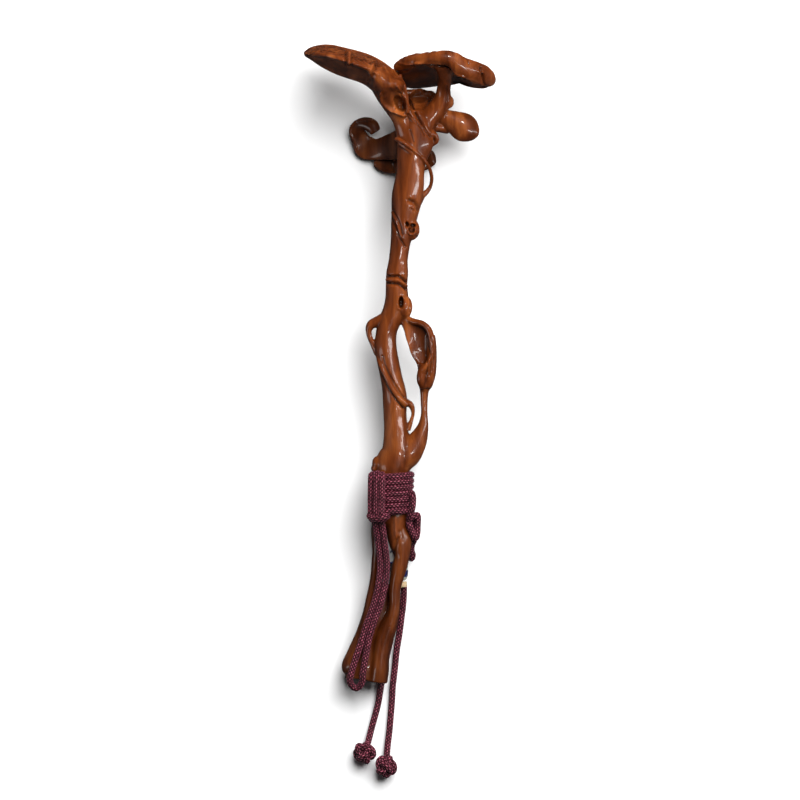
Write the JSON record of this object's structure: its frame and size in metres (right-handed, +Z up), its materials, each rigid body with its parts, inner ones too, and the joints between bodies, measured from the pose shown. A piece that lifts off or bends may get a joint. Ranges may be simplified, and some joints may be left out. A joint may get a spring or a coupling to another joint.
{
  "type": "ruyi scepter",
  "caption": "Carved hardwood scepter in lingzhi-fungus form, with a knotty stem and flared caps, its grip bound in braided silk cord with a loop, a bead and knotted tails.",
  "frame": {"origin": "middle of the small flat under the foot, on the surface that the scepter lies on", "axes": "+Y runs from the foot to the head, +Z points up out of the side that is looked at, +X is to the right as seen from above with the head away from the viewer"},
  "size_m": [0.1195, 0.4584, 0.069],
  "materials": {
    "hardwood": "dark red-brown hardwood, waxed and hand-polished to a gloss",
    "silk_cord": "round braid of plum silk with pink flecks, matt",
    "porcelain": "pale glaze with painted blue bands, glossy",
    "bone": "pale tan bone or stone, satin"
  },
  "bodies": {
    "root": {"carved_branch": "hardwood", "grip_winding": "silk_cord", "bound_strands": "silk_cord", "hanging_loop": "silk_cord", "side_knot": "silk_cord", "right_tail_cord": "silk_cord", "left_tail_cord": "silk_cord", "right_button_knot": "silk_cord", "left_button_knot": "silk_cord", "porcelain_bead": "porcelain", "bone_collar": "bone"}
  },
  "joints": []
}
